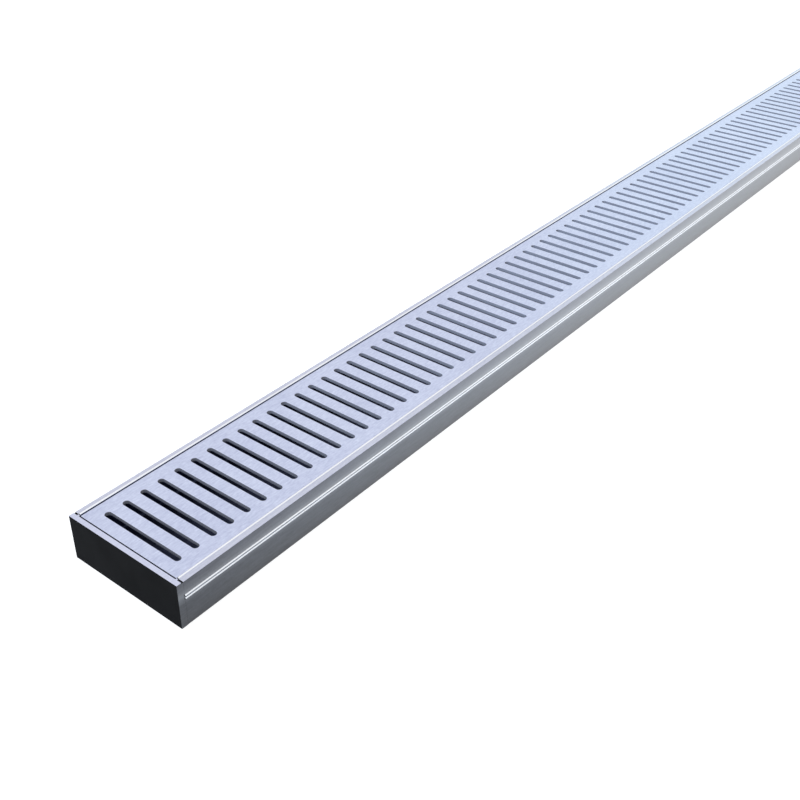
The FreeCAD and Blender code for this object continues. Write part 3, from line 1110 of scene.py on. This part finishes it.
@dataclass(frozen=True)
class Studio:
    """Plain pale floor, white surroundings and soft lamps."""

    floor_radius: float = 30.0
    floor_steps: int = 64
    floor_level: float = -0.0001
    floor_colour: str = "#a6a6a6"
    floor_glow: float = 0.72
    # Painted shade on the floor for gloss: where it falls off along X, in metres, and the glow's share at
    # its two ends.
    falloff: tuple[float, float] = (-0.74, -0.17)
    falloff_range: tuple[float, float] = (0.08, 0.87)
    surroundings: float = 1.0
    lamps: tuple[SoftLamp, ...] = (
        SoftLamp("overhead_lamp", (-0.2, -1.0, 2.6), (0.0, 0.0, 0.0), 1.6, 5.0),
        SoftLamp("window_lamp", (2.7, 0.85, 0.9), (0.1, 0.0, 0.0), 1.4, 1.9, (0.5, 1.0, 0.95)),
        SoftLamp("slot_lamp", (-0.75, 0.1, 0.74), (0.25, 0.1, 0.84), 0.4, 30.0, (0.69, 0.83, 1.0), False),
    )

    def build(self) -> None:
        """Makes the floor, the surroundings and the lamps."""
        draft = MeshDraft()
        radius = self.floor_radius / MM
        angles = [2 * math.pi * step / self.floor_steps for step in range(self.floor_steps)]
        ring = [(radius * math.cos(a), radius * math.sin(a), self.floor_level / MM) for a in angles]
        draft.add_face(draft.add_points(ring), Zone.TOP)
        floor = draft.to_object("studio_floor", [self._floor_material()])
        world = bpy.data.worlds.new("surroundings")
        world.use_nodes = True
        world.node_tree.nodes.clear()
        background = add_node(world.node_tree, "ShaderNodeBackground", inputs={
            "Color": (1.0, 1.0, 1.0, 1.0), "Strength": self.surroundings})
        add_node(world.node_tree, "ShaderNodeOutputWorld", inputs={"Surface": background.outputs[0]})
        bpy.context.scene.world = world
        for lamp in self.lamps:
            lamp.build()

    def _floor_material(self) -> bpy.types.Material:
        """Makes the floor's paint, white to the eye, white to gloss at the far end and painted darker for
        gloss towards the near end, with a soft shadow, clear from below.
        """
        material, tree = new_material("pale_studio_floor")
        path = add_node(tree, "ShaderNodeLightPath")
        place = add_node(tree, "ShaderNodeSeparateXYZ", inputs={
            0: add_node(tree, "ShaderNodeTexCoord").outputs["Object"]})
        # What gloss sees of the floor is painted darker towards the near end: painted shade, as under a lamp
        # beyond the far end, which the metal mirrors as a painted reflection.
        falloff = add_range(tree, place.outputs[0], self.falloff, self.falloff_range, "SMOOTHSTEP")
        mirrored = add_math(tree, "MULTIPLY", path.outputs["Is Glossy Ray"], falloff)
        seen = add_math(tree, "MAXIMUM", path.outputs["Is Camera Ray"], mirrored)
        seen = add_math(tree, "MAXIMUM", seen, path.outputs["Is Transmission Ray"])
        glow_strength = add_math(tree, "MULTIPLY", seen, self.floor_glow)
        paint = add_node(tree, "ShaderNodeBsdfDiffuse", inputs={"Color": linear(self.floor_colour)})
        glow = add_node(tree, "ShaderNodeEmission", inputs={"Strength": glow_strength})
        surface = add_node(tree, "ShaderNodeAddShader", inputs={0: paint.outputs[0], 1: glow.outputs[0]})
        clear = add_node(tree, "ShaderNodeBsdfTransparent")
        sides = add_node(tree, "ShaderNodeNewGeometry")
        both = add_node(tree, "ShaderNodeMixShader", inputs={
            0: sides.outputs["Backfacing"], 1: surface.outputs[0], 2: clear.outputs[0]})
        add_node(tree, "ShaderNodeOutputMaterial", inputs={"Surface": both.outputs[0]})
        return material


def dress_nodes(nodes: dict[str, bpy.types.Object], names: Sequence[str],
                material: bpy.types.Material) -> None:
    """Gives carried-over nodes a finish.

    Args:
        nodes: All nodes by name.
        names: The nodes to dress.
        material: Their finish.
    """
    for name in names:
        for slot in nodes[name].material_slots:
            slot.material = material
        LOG.info("%s: finished in %s", name, material.name)


def main() -> None:
    """Builds the drain and its studio."""
    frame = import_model()
    finishes = Finishes()
    sizes = Sizes()
    metal = {Zone.TOP: finishes.satin.build(), Zone.LIP: finishes.lip.build(),
             Zone.BRIGHT: finishes.bright.build(), Zone.EDGE: finishes.edge.build(),
             Zone.OUTER: finishes.wall.build(), Zone.CUT: finishes.black.build(),
             Zone.INNER: finishes.inner.build()}
    cap_metal = {**metal, Zone.TOP: finishes.cap_top.build(), Zone.INNER: finishes.cast.build()}
    Channel(sizes, metal).build()
    Grate(sizes, metal).build()
    EndCap(sizes, cap_metal, "end_cap_near", far=False).build()
    EndCap(sizes, cap_metal, "end_cap_far", far=True).build()
    Outlet(sizes, finishes.plastic.build(), finishes.steel.build()).build()
    dress_nodes(frame["nodes"], ("end_seal_near", "end_seal_far", "outlet_gasket"),
                finishes.rubber.build())
    Studio().build()
    Viewpoint().build()
    bpy.context.scene.view_settings.view_transform = "Standard"


if __name__ == "__main__":
    main()
